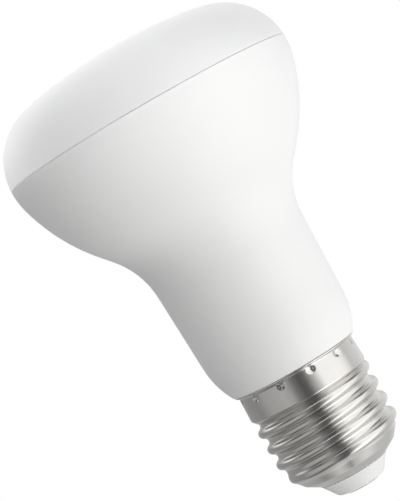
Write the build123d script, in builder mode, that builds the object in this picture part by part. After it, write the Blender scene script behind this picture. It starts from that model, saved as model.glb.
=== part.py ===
from build123d import *
import os
from math import cos, radians, sin, sqrt, tan

# Reflector lamp, 63 mm across, on an Edison screw cap. Millimetres and degrees.
# The origin is the middle of the centre contact's face, and +Z runs along the lamp's axis to its lit face.
# Every section is drawn as a half section on the XZ plane: radius along X, height along Z.

# Rim, where the diffuser plugs into the housing
bulb_diameter = 63.0
rim_height = 85.33  # widest plane
rim_radius = 14.9
seam_rise = 0.65  # seam above the widest plane
seam_gap = 0.05
seam_round = 0.15  # on the edges at both sides of the seam
rim_wall = 1.6
seat_depth = 3.2
fit_clearance = 0.1

# Diffuser: the rim's round runs on into a tighter corner, and the corner into a flat dome
rim_top_angle = 6.0
corner_radius = 13.35
corner_top_angle = 78.5
diffuser_wall = 1.5
spigot_wall = 1.3

# Housing: rim, bowl, cone, waist, neck and rounded foot
rim_low_angle = 14.9
bowl_radius = 39.7
cone_angle = 40.7
cone_share = 0.325  # straight part of the run from the bowl to the waist's corner, before the waist's round
neck_diameter = 32.3  # where the foot's round begins
neck_draft = 2.0
foot_height = 8.0
foot_overhang = 0.3
plug_end_gap = 0.75  # the plug ends this far above the collar's foot

# Screw cap: heights above the contact's face, and diameters outside the sheet
sheet = 0.35
cap_height = 27.95
lip_flare = 0.7
collar_diameter = 25.8
collar_foot_diameter = 26.2
collar_foot_height = 22.0
collar_foot_drop = 1.2
collar_foot_radius = 0.6
core_diameter = 24.0
shoulder_height = 7.55
shoulder_radius = 1.0
knuckle_diameter = 20.7
knuckle_height = 5.4
knuckle_radius = 1.5
mouth_diameter = 15.2
mouth_height = 3.73

# Rolled thread of the cap
thread_pitch = 3.629
thread_diameter = 26.45
thread_width = 3.24  # at the root, where the ridge is sunk into the core
thread_start = 9.7  # height of the crest at +X where the ridge has its full depth
thread_turns = 3  # at full depth, with half a turn of run-out at each end
crest_spread = 1.7  # of the points that shape the ridge's outside, and its inside
crest_spread_inside = 0.84
root_sink = 0.15
root_ease = 0.1
run_out_sink = 0.1

# Crimp punches round the collar, close under the lip
punch_count = 12
punch_drop = 1.5  # below the top of the lip
punch_radius = 1.0
punch_depth = 0.45
punch_azimuth = -79.8

# Insulator and centre contact
insulator_gap = 0.05
insulator_face_height = 0.3
insulator_cone_angle = 35.0
insulator_ledge = 0.2  # under the edge of the cap's mouth
insulator_edge_radius = 1.0
flange_overlap = 1.2
flange_thickness = 0.8
contact_diameter = 8.0
contact_edge = 0.15
shank_diameter = 2.4
shank_length = 4.5

# Sizes that follow from the ones above
bulb_radius = bulb_diameter / 2
seam_height = rim_height + seam_rise
deck_height = seam_height - seat_depth
mouth_radius = bulb_radius - rim_wall
spigot_radius = mouth_radius - fit_clearance
spigot_bore_radius = spigot_radius - spigot_wall
collar_radius = collar_diameter / 2
lip_radius = collar_radius + lip_flare
core_radius = core_diameter / 2
crest_radius = thread_diameter / 2
thread_end = thread_start + thread_turns * thread_pitch
plug_radius = collar_radius - sheet - fit_clearance
punch_height = cap_height - punch_drop
punch_centre_radius = collar_radius - punch_depth + punch_radius
punch_bulge_radius = punch_radius + sheet


def polar(radius, angle):
    """The offset of a given length at a given angle above the outward direction."""
    return Vector(radius * cos(radians(angle)), radius * sin(radians(angle)))


def band(low, high, inner, outer, mode=Mode.ADD):
    """A rectangle of the half section, between two heights and two radii."""
    with Locations((inner, low)):
        Rectangle(outer - inner, high - low, align=Align.MIN, mode=mode)


# Centres of the arcs in the body's outline, each arc tangent to the one before it
rim_centre = Vector(bulb_radius - rim_radius, rim_height)
corner_centre = rim_centre + polar(rim_radius - corner_radius, rim_top_angle)
face_edge = corner_centre + polar(corner_radius, corner_top_angle)
face_radius = face_edge.X / cos(radians(corner_top_angle))
face_centre = face_edge - polar(face_radius, corner_top_angle)
face_height = face_centre.Y + face_radius
bowl_centre = rim_centre + polar(rim_radius - bowl_radius, -rim_low_angle)


def dome_face(inset):
    """The half section under the diffuser's dome, moved inwards by inset, down to the widest plane."""
    with BuildLine() as outline:
        CenterArc(rim_centre, rim_radius - inset, 0, rim_top_angle)
        CenterArc(corner_centre, corner_radius - inset, rim_top_angle, corner_top_angle - rim_top_angle)
        CenterArc(face_centre, face_radius - inset, corner_top_angle, 90 - corner_top_angle)
        Polyline((0, face_height - inset), (0, rim_height), (bulb_radius - inset, rim_height))
    make_face(outline.edges())


# Diffuser: a domed shell on a spigot that stands on the housing's deck
with BuildSketch(Plane.XZ) as chamber_section:
    dome_face(diffuser_wall)
    band(deck_height, rim_height, 0, spigot_bore_radius)
    band(deck_height, face_height, 0, spigot_bore_radius, mode=Mode.INTERSECT)

with BuildPart() as diffuser:
    with BuildSketch(Plane.XZ):
        dome_face(0)
        band(rim_height, seam_height + seam_gap / 2, 0, bulb_radius, mode=Mode.SUBTRACT)
        band(deck_height, seam_height + seam_gap / 2, 0, spigot_radius)
        add(chamber_section.sketch, mode=Mode.SUBTRACT)
        fillet(vertices().sort_by(Axis.X)[-1], seam_round)
    revolve(axis=Axis.Z)
diffuser.part.label = "diffuser"

# Housing: the neck leans out from its foot and meets the cone at the waist
rim_edge_height = seam_height - seam_gap / 2
rim_edge = Vector(
    rim_centre.X + sqrt(rim_radius**2 - (rim_edge_height - rim_height) ** 2), rim_edge_height
)
cone_top = bowl_centre + polar(bowl_radius, -cone_angle)
cone_slope = tan(radians(cone_angle))
neck_foot = Vector(neck_diameter / 2, cap_height + foot_height)
neck_slope = tan(radians(neck_draft))
neck_length = (neck_foot.X - cone_top.X + cone_slope * (cone_top.Y - neck_foot.Y)) / (cone_slope - neck_slope)
waist = neck_foot + Vector(neck_slope, 1) * neck_length
waist_reach = (cone_top - waist).length * (1 - cone_share)
waist_radius = waist_reach / tan(radians(cone_angle - neck_draft) / 2)
foot_edge = Vector(lip_radius + foot_overhang, cap_height)

with BuildPart() as housing:
    with BuildSketch(Plane.XZ):
        with BuildLine():
            bowl = CenterArc(bowl_centre, bowl_radius, -rim_low_angle, rim_low_angle - cone_angle)
            TangentArc(bowl @ 0, rim_edge, tangent=-(bowl % 0))
            FilletPolyline(cone_top, waist, neck_foot, radius=waist_radius)
            TangentArc(neck_foot, foot_edge, tangent=(-neck_slope, -1))
            Polyline(foot_edge, (0, foot_edge.Y), (0, rim_edge.Y), rim_edge)
        make_face()
        band(deck_height, rim_edge.Y, 0, mouth_radius, mode=Mode.SUBTRACT)
        fillet(vertices().sort_by(Axis.X)[-1], seam_round)
        band(collar_foot_height + plug_end_gap, cap_height, 0, plug_radius)
        # The plug is narrower under the foot, where the crimp punches reach in
        band(
            punch_height - punch_bulge_radius,
            cap_height,
            punch_centre_radius - punch_bulge_radius - fit_clearance,
            plug_radius,
            mode=Mode.SUBTRACT,
        )
    revolve(axis=Axis.Z)
housing.part.label = "housing"

# Screw cap: the outside of the sheet from its lip to its mouth, and the inside a sheet's thickness away
with BuildLine() as cap_outside:
    flare = CenterArc((lip_radius, cap_height - sheet - lip_flare), lip_flare, 90, 90)
    FilletPolyline(
        flare @ 1,
        (collar_foot_diameter / 2, collar_foot_height),
        (core_radius, collar_foot_height - collar_foot_drop),
        (core_radius, shoulder_height),
        (knuckle_diameter / 2, knuckle_height),
        (mouth_diameter / 2, mouth_height),
        radius=[collar_foot_radius, collar_foot_radius, shoulder_radius, knuckle_radius],
    )
cap_inside = cap_outside.wire().offset_2d(sheet, kind=Kind.INTERSECTION, side=Side.RIGHT, closed=False)
inner_mouth = cap_inside.vertices().sort_by(Axis.Y)[0].center()


def ridge_face(height, inset, spread):
    """The thread's section, moved inwards by inset: one curve over a crest at a given height."""
    root = core_radius - root_sink - inset
    flank = root + root_ease
    crest_pull = (16 * (crest_radius - inset) - 2 * root - 8 * flank) / 6
    with BuildLine() as outline:
        curve = Bezier(
            (root, height - thread_width / 2),
            (flank, height - spread / 2),
            (crest_pull, height),
            (flank, height + spread / 2),
            (root, height + thread_width / 2),
        )
        Line(curve @ 1, curve @ 0)
    make_face(outline.edges())


def ridge(start, end, inset, spread):
    """The thread's ridge on a right-hand helix that starts over +X, between two heights of its crest."""
    with BuildPart() as turns:
        with BuildLine() as path:
            Helix(thread_pitch, end - start, core_radius, center=(0, 0, start))
        with BuildSketch(Plane.XZ):
            ridge_face(start, inset, spread)
        sweep(path=path.wire(), is_frenet=True)
    return turns.part


def run_out(start, deep_side):
    """Half a turn of the ridge that sinks into the core under an eccentric cylinder, deep at +X (1) or -X (-1)."""
    with BuildPart() as turn:
        add(ridge(start, start + thread_pitch / 2, 0, crest_spread))
        with Locations((deep_side * ((crest_radius - core_radius) / 2 + run_out_sink), 0, start)):
            Cylinder((crest_radius + core_radius) / 2, 4 * thread_pitch, mode=Mode.INTERSECT)
    return turn.part


# The room inside the sheet, with the punches' bulges left standing in it
with BuildPart() as cap_room:
    with BuildSketch(Plane.XZ):
        with BuildLine():
            add(cap_inside)
            Polyline(inner_mouth, (0, inner_mouth.Y), (0, cap_height), (lip_radius, cap_height))
        make_face()
    revolve(axis=Axis.Z)
    add(ridge(thread_start, thread_end, sheet, crest_spread_inside))
    with Locations((0, 0, punch_height)):
        with PolarLocations(punch_centre_radius, punch_count, start_angle=punch_azimuth):
            Sphere(punch_bulge_radius, rotation=(0, 90, 0), mode=Mode.SUBTRACT)

with BuildPart() as screw_cap:
    with BuildSketch(Plane.XZ):
        with BuildLine():
            add(cap_outside.line)
            Polyline(
                (mouth_diameter / 2, mouth_height),
                inner_mouth,
                (0, inner_mouth.Y),
                (0, cap_height),
                (lip_radius, cap_height),
                (lip_radius, cap_height - sheet),
            )
        make_face()
    revolve(axis=Axis.Z)
    with Locations((0, 0, punch_height)):
        with PolarLocations(punch_centre_radius, punch_count, start_angle=punch_azimuth):
            Sphere(punch_radius, rotation=(0, 90, 0), mode=Mode.SUBTRACT)
    add(ridge(thread_start, thread_end, 0, crest_spread))
    add(run_out(thread_end, 1))
    add(run_out(thread_start - thread_pitch / 2, -1).rotate(Axis.Z, 180))
    add(cap_room.part, mode=Mode.SUBTRACT)
screw_cap.part.label = "screw_cap"

# Insulator: a cone below the cap's mouth, a neck through it and a flange that lies on the sheet inside
neck_radius = inner_mouth.X - insulator_gap
cone_rise = 1 / tan(radians(insulator_cone_angle))
shoulder_slope = (knuckle_height - mouth_height) / (knuckle_diameter - mouth_diameter) * 2
flange_low = inner_mouth.Y - insulator_gap * shoulder_slope + insulator_gap * sqrt(1 + shoulder_slope**2)
flange_edge = flange_low + flange_overlap * shoulder_slope
flange_top = flange_edge + flange_thickness
cone_radius = neck_radius + insulator_ledge
cone_face_radius = cone_radius - (mouth_height - insulator_gap - insulator_face_height) / cone_rise

with BuildPart() as insulator:
    with BuildSketch(Plane.XZ):
        with BuildLine():
            FilletPolyline(
                (0, insulator_face_height),
                (cone_face_radius, insulator_face_height),
                (cone_radius, mouth_height - insulator_gap),
                radius=insulator_edge_radius,
            )
            Polyline(
                (cone_radius, mouth_height - insulator_gap),
                (neck_radius, mouth_height - insulator_gap),
                (neck_radius, flange_low),
                (neck_radius + flange_overlap, flange_edge),
                (neck_radius + flange_overlap, flange_top),
                (0, flange_top),
                (0, insulator_face_height),
            )
        make_face()
        band(insulator_face_height, insulator_face_height + shank_length, 0, shank_diameter / 2, Mode.SUBTRACT)
    revolve(axis=Axis.Z)
insulator.part.label = "insulator"

# Centre contact: a flat head on the insulator's face, with its shank pressed into the insulator
with BuildPart() as centre_contact:
    with BuildSketch(Plane.XZ):
        band(0, insulator_face_height, 0, contact_diameter / 2)
        chamfer(vertices().group_by(Axis.Y)[0].sort_by(Axis.X)[-1], contact_edge)
        band(insulator_face_height, insulator_face_height + shank_length, 0, shank_diameter / 2)
    revolve(axis=Axis.Z)
centre_contact.part.label = "centre_contact"

os.makedirs("parts", exist_ok=True)
export_step(diffuser.part, "parts/diffuser.step")
export_step(housing.part, "parts/housing.step")
export_step(screw_cap.part, "parts/screw_cap.step")
export_step(insulator.part, "parts/insulator.step")
export_step(centre_contact.part, "parts/centre_contact.step")
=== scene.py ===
"""Reflector bulb on an Edison screw cap: its finishes, a soft studio and the photo's camera.

Metres, in the part's own frame: the origin is the middle of the centre contact's face, +Z runs along the
bulb's axis to its lit face, and the photo's camera looks along +Y.
"""

import math

import bpy
import numpy as np
from mathutils import Matrix, Vector


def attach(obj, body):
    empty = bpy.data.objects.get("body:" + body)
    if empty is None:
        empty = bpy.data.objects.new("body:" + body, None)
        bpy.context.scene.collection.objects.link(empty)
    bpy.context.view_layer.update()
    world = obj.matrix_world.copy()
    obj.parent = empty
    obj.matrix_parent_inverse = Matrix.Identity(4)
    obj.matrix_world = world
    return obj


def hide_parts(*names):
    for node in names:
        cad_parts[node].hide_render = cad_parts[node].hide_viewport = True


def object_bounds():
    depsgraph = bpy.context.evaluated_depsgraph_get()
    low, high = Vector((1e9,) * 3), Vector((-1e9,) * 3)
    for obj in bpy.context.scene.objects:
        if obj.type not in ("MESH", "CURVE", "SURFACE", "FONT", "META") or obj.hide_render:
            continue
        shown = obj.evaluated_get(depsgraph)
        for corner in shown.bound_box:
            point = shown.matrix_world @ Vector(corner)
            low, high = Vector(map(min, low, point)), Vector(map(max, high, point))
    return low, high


MM = 0.001

# The photo's camera: its distance from the axis, the height that it is level with, and its aim
CAMERA_DISTANCE = 0.369
CAMERA_HEIGHT = 0.0629
CAMERA_AIM = Vector((-0.0047, 0.0, 0.05705))
CAMERA_ROLL = math.radians(30.15)
CAMERA_LENS = 132.0
CAMERA_SENSOR = 36.0

# The studio: a tent of glowing cloth round the bulb, over a pale floor
FLOOR_HEIGHT = -0.3
FLOOR_SIZE = 6.0
FLOOR_TONE = 0.8
FLOOR_ROUGHNESS = 0.8
AMBIENT = 0.6
TENT_RADIUS = 0.34
TENT_LOW = -90
TENT_HIGH = 80
TENT_COLUMNS = 181
TENT_ROWS = 61
# Soft lamps round the bulb, each aimed at a height on its axis
FILL_DISTANCE = 0.3
FILLS = [
    {"azimuth": -10, "elevation": 55, "aim": 0.05, "size": 0.2, "spread": 180, "watts": 0.17},
    {"azimuth": -120, "elevation": 50, "aim": 0.05, "size": 0.2, "spread": 180, "watts": 0.2},
    {"azimuth": 5, "elevation": -50, "aim": 0.05, "size": 0.2, "spread": 180, "watts": 0.22},
    {"azimuth": -5, "elevation": -10, "aim": 0.09, "size": 0.05, "spread": 15, "watts": 0.0014},
]
# Light that passes through the opal diffuser from its other side: a lamp that lights it alone
THROUGH = {"azimuth": -98, "elevation": -25, "aim": 0.09, "size": 0.2, "spread": 180, "watts": 0.33}
# The cloth's tone round the tent at a few heights: azimuth in degrees (0 in front, 90 at +X), and tone
TENT_FLOOR = [(-180, 0.6), (-90, 0.85), (-30, 0.5), (0, 0.3), (30, 0.6), (90, 0.75), (180, 0.6)]
TENT_GROUND = [
    (-180, 0.55),
    (-120, 0.4),
    (-95, 0.2),
    (-40, 0.2),
    (-28, 0.3),
    (-14, 0.12),
    (6, 0.12),
    (18, 1.2),
    (30, 1.75),
    (60, 1.7),
    (85, 1.1),
    (110, 0.7),
    (180, 0.55),
]
TENT_WALL = [
    (-180, 0.5),
    (-150, 0.35),
    (-100, 0.3),
    (-80, 0.43),
    (-42, 0.52),
    (-30, 0.46),
    (-20, 0.24),
    (-6, 0.1),
    (4, 0.14),
    (14, 0.43),
    (23, 0.78),
    (32, 1.27),
    (72, 1.27),
    (86, 1.1),
    (98, 0.7),
    (120, 0.8),
    (150, 0.9),
    (180, 0.5),
]
TENT_EAVES = [
    (-180, 1.1),
    (-130, 1.2),
    (-108, 0.5),
    (-90, 0.14),
    (-62, 0.14),
    (-46, 0.3),
    (-26, 0.3),
    (-14, 0.12),
    (6, 0.12),
    (18, 1.0),
    (40, 1.4),
    (70, 1.1),
    (86, 0.2),
    (112, 0.2),
    (125, 0.7),
    (180, 1.1),
]
TENT_ROOF = [
    (-180, 0.9),
    (-120, 0.65),
    (-40, 0.65),
    (0, 0.75),
    (45, 1.0),
    (85, 0.5),
    (115, 0.5),
    (140, 0.9),
    (180, 0.9),
]
# Elevation in degrees, and the tones there
TENT_BANDS = [
    (-78, TENT_FLOOR),
    (-62, TENT_GROUND),
    (-38, TENT_GROUND),
    (-22, TENT_WALL),
    (10, TENT_WALL),
    (26, TENT_EAVES),
    (46, TENT_EAVES),
    (66, TENT_ROOF),
]

# How a noise is used: its octaves of detail, and the range of values that is spread out
NOISE_DETAIL = 3.0
NOISE_LOW = 0.3
NOISE_HIGH = 0.7

# Screw cap, in millimetres: the corners of its outside, from the lip to the mouth, with the round at each
COLLAR_TOP = 12.9
LIP_EDGE = 13.6
LIP_TOP = 27.85
LIP_FLARE = 0.55
LIP_ROUND = 0.14
SHEET = 0.35
COLLAR_FOOT = 13.1
COLLAR_FOOT_HEIGHT = 22.0
COLLAR_FOOT_ROUND = 0.6
CORE_TOP = 20.8
CORE_ROUND = 0.6
SHOULDER_HEIGHT = 7.55
SHOULDER_ROUND = 1.0
KNUCKLE = (10.35, 5.4)
KNUCKLE_ROUND = 1.5
MOUTH = (7.6, 3.73)
MOUTH_ROUND = 0.1
MOUTH_INSIDE = (7.42, 4.03)
# How fine the cap's mesh is: points on a round, the longest step down the outline, and columns round it
ROUND_POINTS = 10
OUTLINE_STEP = 0.14
CAP_COLUMNS = 350
# Thread: a wave of equal arcs at crest and root
THREAD_PITCH = 3.629
THREAD_CREST = 13.225
THREAD_DEPTH = 1.225
THREAD_START = 9.7
THREAD_TURNS = 3
THREAD_RUN_IN = 0.75  # turns, at the cap's end
THREAD_RUN_OUT = 0.5  # turns, at the collar
# Crimp punches
PUNCH_COUNT = 12
PUNCH_AZIMUTH = -79.8
PUNCH_HEIGHT = 26.45
PUNCH_HALF_WIDTH = 0.95
PUNCH_HALF_HEIGHT = 0.85
PUNCH_DEPTH = 0.4
PUNCH_EASE = 1.5  # power that eases the punch into the collar


class Finish:
    """A Principled material, plain at first. Sizes of its detail are in millimetres."""

    def __init__(self, name, color, roughness, metallic=0.0):
        self.material = bpy.data.materials.new(name)
        self.material.use_nodes = True
        self.nodes = self.material.node_tree.nodes
        self.links = self.material.node_tree.links
        self.inputs = self.nodes["Principled BSDF"].inputs
        self.inputs["Base Color"].default_value = (*color, 1.0)
        self.inputs["Roughness"].default_value = roughness
        self.inputs["Metallic"].default_value = metallic

    def scatter(self, depth):
        """Lets light pass into the surface, to about a given depth."""
        self.inputs["Subsurface Weight"].default_value = 1.0
        self.inputs["Subsurface Radius"].default_value = (1.0, 1.0, 1.0)
        self.inputs["Subsurface Scale"].default_value = depth * MM
        return self

    def noise(self, size, stretch=(1.0, 1.0, 1.0)):
        """A noise over the surface, with spots of a given size that are stretched along the axes."""
        place = self.nodes.new("ShaderNodeTexCoord")
        scale = self.nodes.new("ShaderNodeVectorMath")
        scale.operation = "DIVIDE"
        scale.inputs[1].default_value = [size * MM * longer for longer in stretch]
        texture = self.nodes.new("ShaderNodeTexNoise")
        texture.inputs["Scale"].default_value = 1.0
        texture.inputs["Detail"].default_value = NOISE_DETAIL
        self.links.new(place.outputs["Object"], scale.inputs[0])
        self.links.new(scale.outputs[0], texture.inputs["Vector"])
        return texture.outputs["Fac"]

    def drift(self, low, high, size, stretch=(1.0, 1.0, 1.0)):
        """Lets the roughness drift between two values."""
        spread = self.nodes.new("ShaderNodeMapRange")
        spread.inputs["From Min"].default_value = NOISE_LOW
        spread.inputs["From Max"].default_value = NOISE_HIGH
        spread.inputs["To Min"].default_value = low
        spread.inputs["To Max"].default_value = high
        self.links.new(self.noise(size, stretch), spread.inputs["Value"])
        self.links.new(spread.outputs[0], self.inputs["Roughness"])
        return self

    def tint(self, other, size, stretch=(1.0, 1.0, 1.0)):
        """Lets the colour drift to another one in patches."""
        ramp = self.nodes.new("ShaderNodeValToRGB")
        first, last = ramp.color_ramp.elements
        first.position = NOISE_LOW
        last.position = NOISE_HIGH
        first.color = self.inputs["Base Color"].default_value
        last.color = (*other, 1.0)
        self.links.new(self.noise(size, stretch), ramp.inputs["Fac"])
        self.links.new(ramp.outputs["Color"], self.inputs["Base Color"])
        return self

    def relief(self, height, size, stretch=(1.0, 1.0, 1.0)):
        """Raises a fine relief, on top of any that is there already."""
        bump = self.nodes.new("ShaderNodeBump")
        bump.inputs["Distance"].default_value = height * MM
        self.links.new(self.noise(size, stretch), bump.inputs["Height"])
        for link in list(self.inputs["Normal"].links):
            self.links.new(link.from_socket, bump.inputs["Normal"])
        self.links.new(bump.outputs["Normal"], self.inputs["Normal"])
        return self


def opal_plastic():
    """Milky plastic that light passes into, with a satin skin."""
    finish = Finish("opal_plastic", (0.828, 0.831, 0.835), 0.35)
    finish.scatter(0.2)
    finish.tint((0.82, 0.82, 0.82), 9.0)
    finish.drift(0.31, 0.39, 4.0)
    finish.relief(0.0015, 0.3)
    return finish


def white_plastic():
    """Satin moulded plastic with a very fine spark texture."""
    finish = Finish("white_plastic", (0.865, 0.865, 0.86), 0.4)
    finish.scatter(0.2)
    finish.tint((0.855, 0.855, 0.85), 12.0)
    finish.drift(0.36, 0.44, 5.0)
    finish.relief(0.002, 0.3)
    return finish


def insulator_plastic():
    """Semi-gloss moulded insulation, a little mottled."""
    finish = Finish("insulator_plastic", (0.8, 0.8, 0.79), 0.3)
    finish.tint((0.775, 0.775, 0.76), 10.0)
    finish.drift(0.26, 0.36, 6.0)
    finish.relief(0.002, 2.0)
    return finish


def contact_metal():
    """Dull tin plate with scuffs."""
    finish = Finish("contact_metal", (0.7, 0.69, 0.67), 0.35, metallic=1.0)
    finish.tint((0.6, 0.585, 0.56), 1.2)
    finish.drift(0.25, 0.5, 0.6)
    finish.relief(0.01, 0.8)
    return finish


def nickel():
    """Bright nickel plate on thin, slightly uneven sheet, with faint lines from the drawing die."""
    finish = Finish("nickel", (0.725, 0.715, 0.695), 0.15, metallic=1.0)
    finish.tint((0.69, 0.675, 0.65), 3.0)
    finish.drift(0.12, 0.19, 0.25, stretch=(30.0, 30.0, 1.0))
    finish.relief(0.02, 4.0)
    finish.relief(0.0006, 0.2, stretch=(40.0, 40.0, 1.0))
    return finish


def glowing_cloth():
    """A material that gives off white light, as strong as the mesh's own tone."""
    mat = bpy.data.materials.new("glowing_cloth")
    mat.use_nodes = True
    tree = mat.node_tree
    tree.nodes.clear()
    tone = tree.nodes.new("ShaderNodeAttribute")
    tone.attribute_name = "tone"
    emission = tree.nodes.new("ShaderNodeEmission")
    output = tree.nodes.new("ShaderNodeOutputMaterial")
    tree.links.new(tone.outputs["Fac"], emission.inputs["Strength"])
    tree.links.new(emission.outputs[0], output.inputs["Surface"])
    return mat


def dress(obj, material):
    """Gives a piece one material."""
    obj.data.materials.clear()
    obj.data.materials.append(material)


def grid_object(name, points, wrap=False):
    """A smooth mesh from rows of points. With wrap, each row closes on itself."""
    rows, columns = points.shape[:2]
    index = np.arange(rows * columns).reshape(rows, columns)
    if wrap:
        index = np.concatenate([index, index[:, :1]], axis=1)
    corners = [index[:-1, :-1], index[1:, :-1], index[1:, 1:], index[:-1, 1:]]
    quads = np.stack(corners, axis=-1).reshape(-1, 4)
    mesh = bpy.data.meshes.new(name)
    mesh.from_pydata(points.reshape(-1, 3).tolist(), [], quads.tolist())
    mesh.polygons.foreach_set("use_smooth", [True] * len(mesh.polygons))
    mesh.update()
    obj = bpy.data.objects.new(name, mesh)
    bpy.context.scene.collection.objects.link(obj)
    return obj


def direction(azimuth, elevation):
    """The direction to a place round the bulb. Angles in radians: 0 in front, a quarter turn at +X."""
    flat = np.cos(elevation)
    return np.stack([flat * np.sin(azimuth), -flat * np.cos(azimuth), np.sin(elevation)], axis=-1)


def tent():
    """The tent's cloth, which the camera doesn't see."""
    azimuth = np.linspace(-180, 180, TENT_COLUMNS)
    elevation = np.linspace(TENT_LOW, TENT_HIGH, TENT_ROWS)
    heights = [height for height, _ in TENT_BANDS]
    bands = np.array([np.interp(azimuth, *np.array(tones).T) for _, tones in TENT_BANDS])
    tones = np.array([np.interp(elevation, heights, column) for column in bands.T]).T
    a, e = np.meshgrid(np.radians(azimuth), np.radians(elevation))
    cloth = grid_object("tent", direction(a, e) * TENT_RADIUS + np.array(middle))
    cloth.data.attributes.new("tone", "FLOAT", "POINT").data.foreach_set("value", tones.ravel())
    dress(cloth, glowing_cloth())
    cloth.visible_camera = False


def fill(azimuth, elevation, aim, size, spread, watts, piece=None):
    """A soft lamp, for one piece or for all. The bright cap mirrors the tent alone, and not this lamp."""
    data = bpy.data.lights.new("fill", "AREA")
    data.shape = "DISK"
    data.size = size
    data.spread = math.radians(spread)
    data.energy = watts
    lamp = bpy.data.objects.new("fill", data)
    bpy.context.scene.collection.objects.link(lamp)
    towards = Vector(direction(math.radians(azimuth), math.radians(elevation)))
    lamp.location = Vector((0, 0, aim)) + towards * FILL_DISTANCE
    lamp.rotation_euler = towards.to_track_quat("Z", "Y").to_euler()
    lamp.visible_camera = False
    lamp.visible_glossy = False
    if piece:
        lit = bpy.data.collections.new("lit_alone")
        lit.objects.link(piece)
        lamp.light_linking.receiver_collection = lit


def rounded(corners):
    """A line through corners, each (radius, height, round), with an arc at each that has a round."""
    line = []
    for i, (x, y, fillet) in enumerate(corners):
        corner = np.array((x, y))
        if not fillet:
            line.append(corner)
            continue
        before = np.array(corners[i - 1][:2]) - corner
        after = np.array(corners[i + 1][:2]) - corner
        before /= np.linalg.norm(before)
        after /= np.linalg.norm(after)
        half = math.acos(np.dot(before, after)) / 2
        centre = corner + (before + after) / np.linalg.norm(before + after) * fillet / math.sin(half)
        start = corner + before * fillet / math.tan(half) - centre
        end = corner + after * fillet / math.tan(half) - centre
        sweep = math.pi - 2 * half
        for t in np.linspace(0, 1, ROUND_POINTS):
            arm = start * math.sin(sweep * (1 - t)) + end * math.sin(sweep * t)
            line.append(centre + arm / math.sin(sweep))
    return np.array(line)


def resampled(line, step):
    """The same line with extra points, so that none are further apart than step."""
    points = [line[:1]]
    for a, b in zip(line[:-1], line[1:]):
        count = max(1, math.ceil(np.linalg.norm(b - a) / step))
        points.append(a + (b - a) * np.linspace(0, 1, count + 1)[1:, None])
    return np.concatenate(points)


def smoothstep(x):
    """A soft step from 0 to 1."""
    x = np.clip(x, 0, 1)
    return x * x * (3 - 2 * x)


def thread_ridge(azimuth, height):
    """How far the thread stands out of the core, in millimetres."""
    arc = THREAD_PITCH**2 / (16 * THREAD_DEPTH) + THREAD_DEPTH / 4
    turn = azimuth / (2 * math.pi)
    nearest = np.round((height - THREAD_START) / THREAD_PITCH - turn)
    along = turn + nearest
    off = np.abs(height - THREAD_START - THREAD_PITCH * along)
    crest = THREAD_DEPTH - arc + np.sqrt(np.maximum(arc**2 - off**2, 0))
    root = arc - np.sqrt(np.maximum(arc**2 - (THREAD_PITCH / 2 - off) ** 2, 0))
    wave = np.where(off < THREAD_PITCH / 4, crest, root)
    run_in = smoothstep(along / THREAD_RUN_IN + 1)
    run_out = smoothstep((THREAD_TURNS - along) / THREAD_RUN_OUT + 1)
    return wave * run_in * run_out


def punch_dents(azimuth, height):
    """How deep the crimp punches are, in millimetres."""
    spacing = 2 * math.pi / PUNCH_COUNT
    off = (azimuth - math.radians(PUNCH_AZIMUTH) + spacing / 2) % spacing - spacing / 2
    across = off * COLLAR_TOP / PUNCH_HALF_WIDTH
    along = (height - PUNCH_HEIGHT) / PUNCH_HALF_HEIGHT
    return PUNCH_DEPTH * np.clip(1 - across**2 - along**2, 0, 1) ** PUNCH_EASE


def screw_cap():
    """The cap's sheet: a turned outline with the thread and the punches rolled into it."""
    core = THREAD_CREST - THREAD_DEPTH
    outline = rounded(
        [
            (COLLAR_TOP - SHEET, LIP_TOP, 0),
            (LIP_EDGE, LIP_TOP, LIP_ROUND),
            (LIP_EDGE, LIP_TOP - SHEET, LIP_ROUND),
            (COLLAR_TOP, LIP_TOP - SHEET, LIP_FLARE),
            (COLLAR_FOOT, COLLAR_FOOT_HEIGHT, COLLAR_FOOT_ROUND),
            (core, CORE_TOP, CORE_ROUND),
            (core, SHOULDER_HEIGHT, SHOULDER_ROUND),
            (*KNUCKLE, KNUCKLE_ROUND),
            (*MOUTH, MOUTH_ROUND),
            (*MOUTH_INSIDE, 0),
        ]
    )
    outline = resampled(outline, OUTLINE_STEP)
    azimuth = np.linspace(0, 2 * math.pi, CAP_COLUMNS, endpoint=False)
    a, height = np.meshgrid(azimuth, outline[:, 1])
    base = np.repeat(outline[:, :1], len(azimuth), axis=1)
    ridge = thread_ridge(a, height)
    below = base + ridge
    above = np.maximum(base, core + ridge)
    radius = np.where(height < (CORE_TOP + SHOULDER_HEIGHT) / 2, below, above)
    radius = radius - punch_dents(a, height)
    points = np.stack([radius * np.cos(a), radius * np.sin(a), height], axis=-1) * MM
    return grid_object("screw_cap_sheet", points, wrap=True)


def white_where_seen(tree, lit, output):
    """Shows plain white to camera, glossy and transmission rays, and the lit shader to the rest."""
    nodes, links = tree.nodes, tree.links
    path = nodes.new("ShaderNodeLightPath")
    seen = path.outputs["Is Camera Ray"]
    for ray in ("Is Glossy Ray", "Is Transmission Ray"):
        either = nodes.new("ShaderNodeMath")
        either.operation = "MAXIMUM"
        links.new(seen, either.inputs[0])
        links.new(path.outputs[ray], either.inputs[1])
        seen = either.outputs[0]
    white = nodes.new("ShaderNodeEmission")
    mix = nodes.new("ShaderNodeMixShader")
    links.new(seen, mix.inputs["Fac"])
    links.new(lit, mix.inputs[1])
    links.new(white.outputs[0], mix.inputs[2])
    links.new(mix.outputs[0], output)


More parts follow.
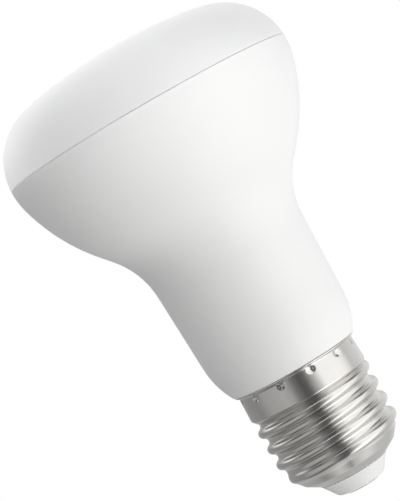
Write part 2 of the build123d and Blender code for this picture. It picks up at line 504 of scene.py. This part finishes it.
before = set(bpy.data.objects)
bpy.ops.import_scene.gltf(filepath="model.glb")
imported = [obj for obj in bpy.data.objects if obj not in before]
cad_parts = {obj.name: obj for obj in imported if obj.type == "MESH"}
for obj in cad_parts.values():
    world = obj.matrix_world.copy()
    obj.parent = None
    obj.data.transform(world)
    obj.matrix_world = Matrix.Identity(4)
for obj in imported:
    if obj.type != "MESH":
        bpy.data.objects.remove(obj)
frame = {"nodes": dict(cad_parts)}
cad_low, cad_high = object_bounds()
middle = (cad_low + cad_high) / 2

# Finishes
nodes = frame["nodes"]
dress(nodes["diffuser"], opal_plastic().material)
dress(nodes["housing"], white_plastic().material)
dress(nodes["insulator"], insulator_plastic().material)
dress(nodes["centre_contact"], contact_metal().material)

cap = screw_cap()
dress(cap, nickel().material)
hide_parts("screw_cap")
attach(cap, "root")

# Floor
half = FLOOR_SIZE / 2
floor_grid = np.array([[(-half, -half, 0), (-half, half, 0)], [(half, -half, 0), (half, half, 0)]])
floor = grid_object("floor", floor_grid)
floor.location.z = FLOOR_HEIGHT
floor_paint = Finish("floor_paint", (FLOOR_TONE, FLOOR_TONE, FLOOR_TONE), FLOOR_ROUGHNESS)
white_where_seen(
    floor_paint.material.node_tree,
    floor_paint.nodes["Principled BSDF"].outputs[0],
    floor_paint.nodes["Material Output"].inputs["Surface"],
)
dress(floor, floor_paint.material)

# World: white behind the bulb, and an even grey light from all round
world = bpy.data.worlds.new("studio")
bpy.context.scene.world = world
world.use_nodes = True
ambient = world.node_tree.nodes["Background"]
ambient.inputs["Color"].default_value = (AMBIENT, AMBIENT, AMBIENT, 1.0)
white_where_seen(
    world.node_tree,
    ambient.outputs[0],
    world.node_tree.nodes["World Output"].inputs["Surface"],
)

tent()
for lamp in FILLS:
    fill(**lamp)
fill(**THROUGH, piece=nodes["diffuser"])

# Camera
camera_data = bpy.data.cameras.new("camera")
camera_data.lens = CAMERA_LENS
camera_data.sensor_width = CAMERA_SENSOR
camera = bpy.data.objects.new("camera", camera_data)
bpy.context.scene.collection.objects.link(camera)
bpy.context.scene.camera = camera
place = Vector((CAMERA_AIM.x, -CAMERA_DISTANCE, CAMERA_HEIGHT))
back = (place - CAMERA_AIM).normalized()
right = Vector((math.sin(CAMERA_ROLL), 0.0, math.cos(CAMERA_ROLL))).cross(back).normalized()
up = back.cross(right)
camera.matrix_world = Matrix.Translation(place) @ Matrix((right, up, back)).transposed().to_4x4()

bpy.context.scene.view_settings.view_transform = "Standard"
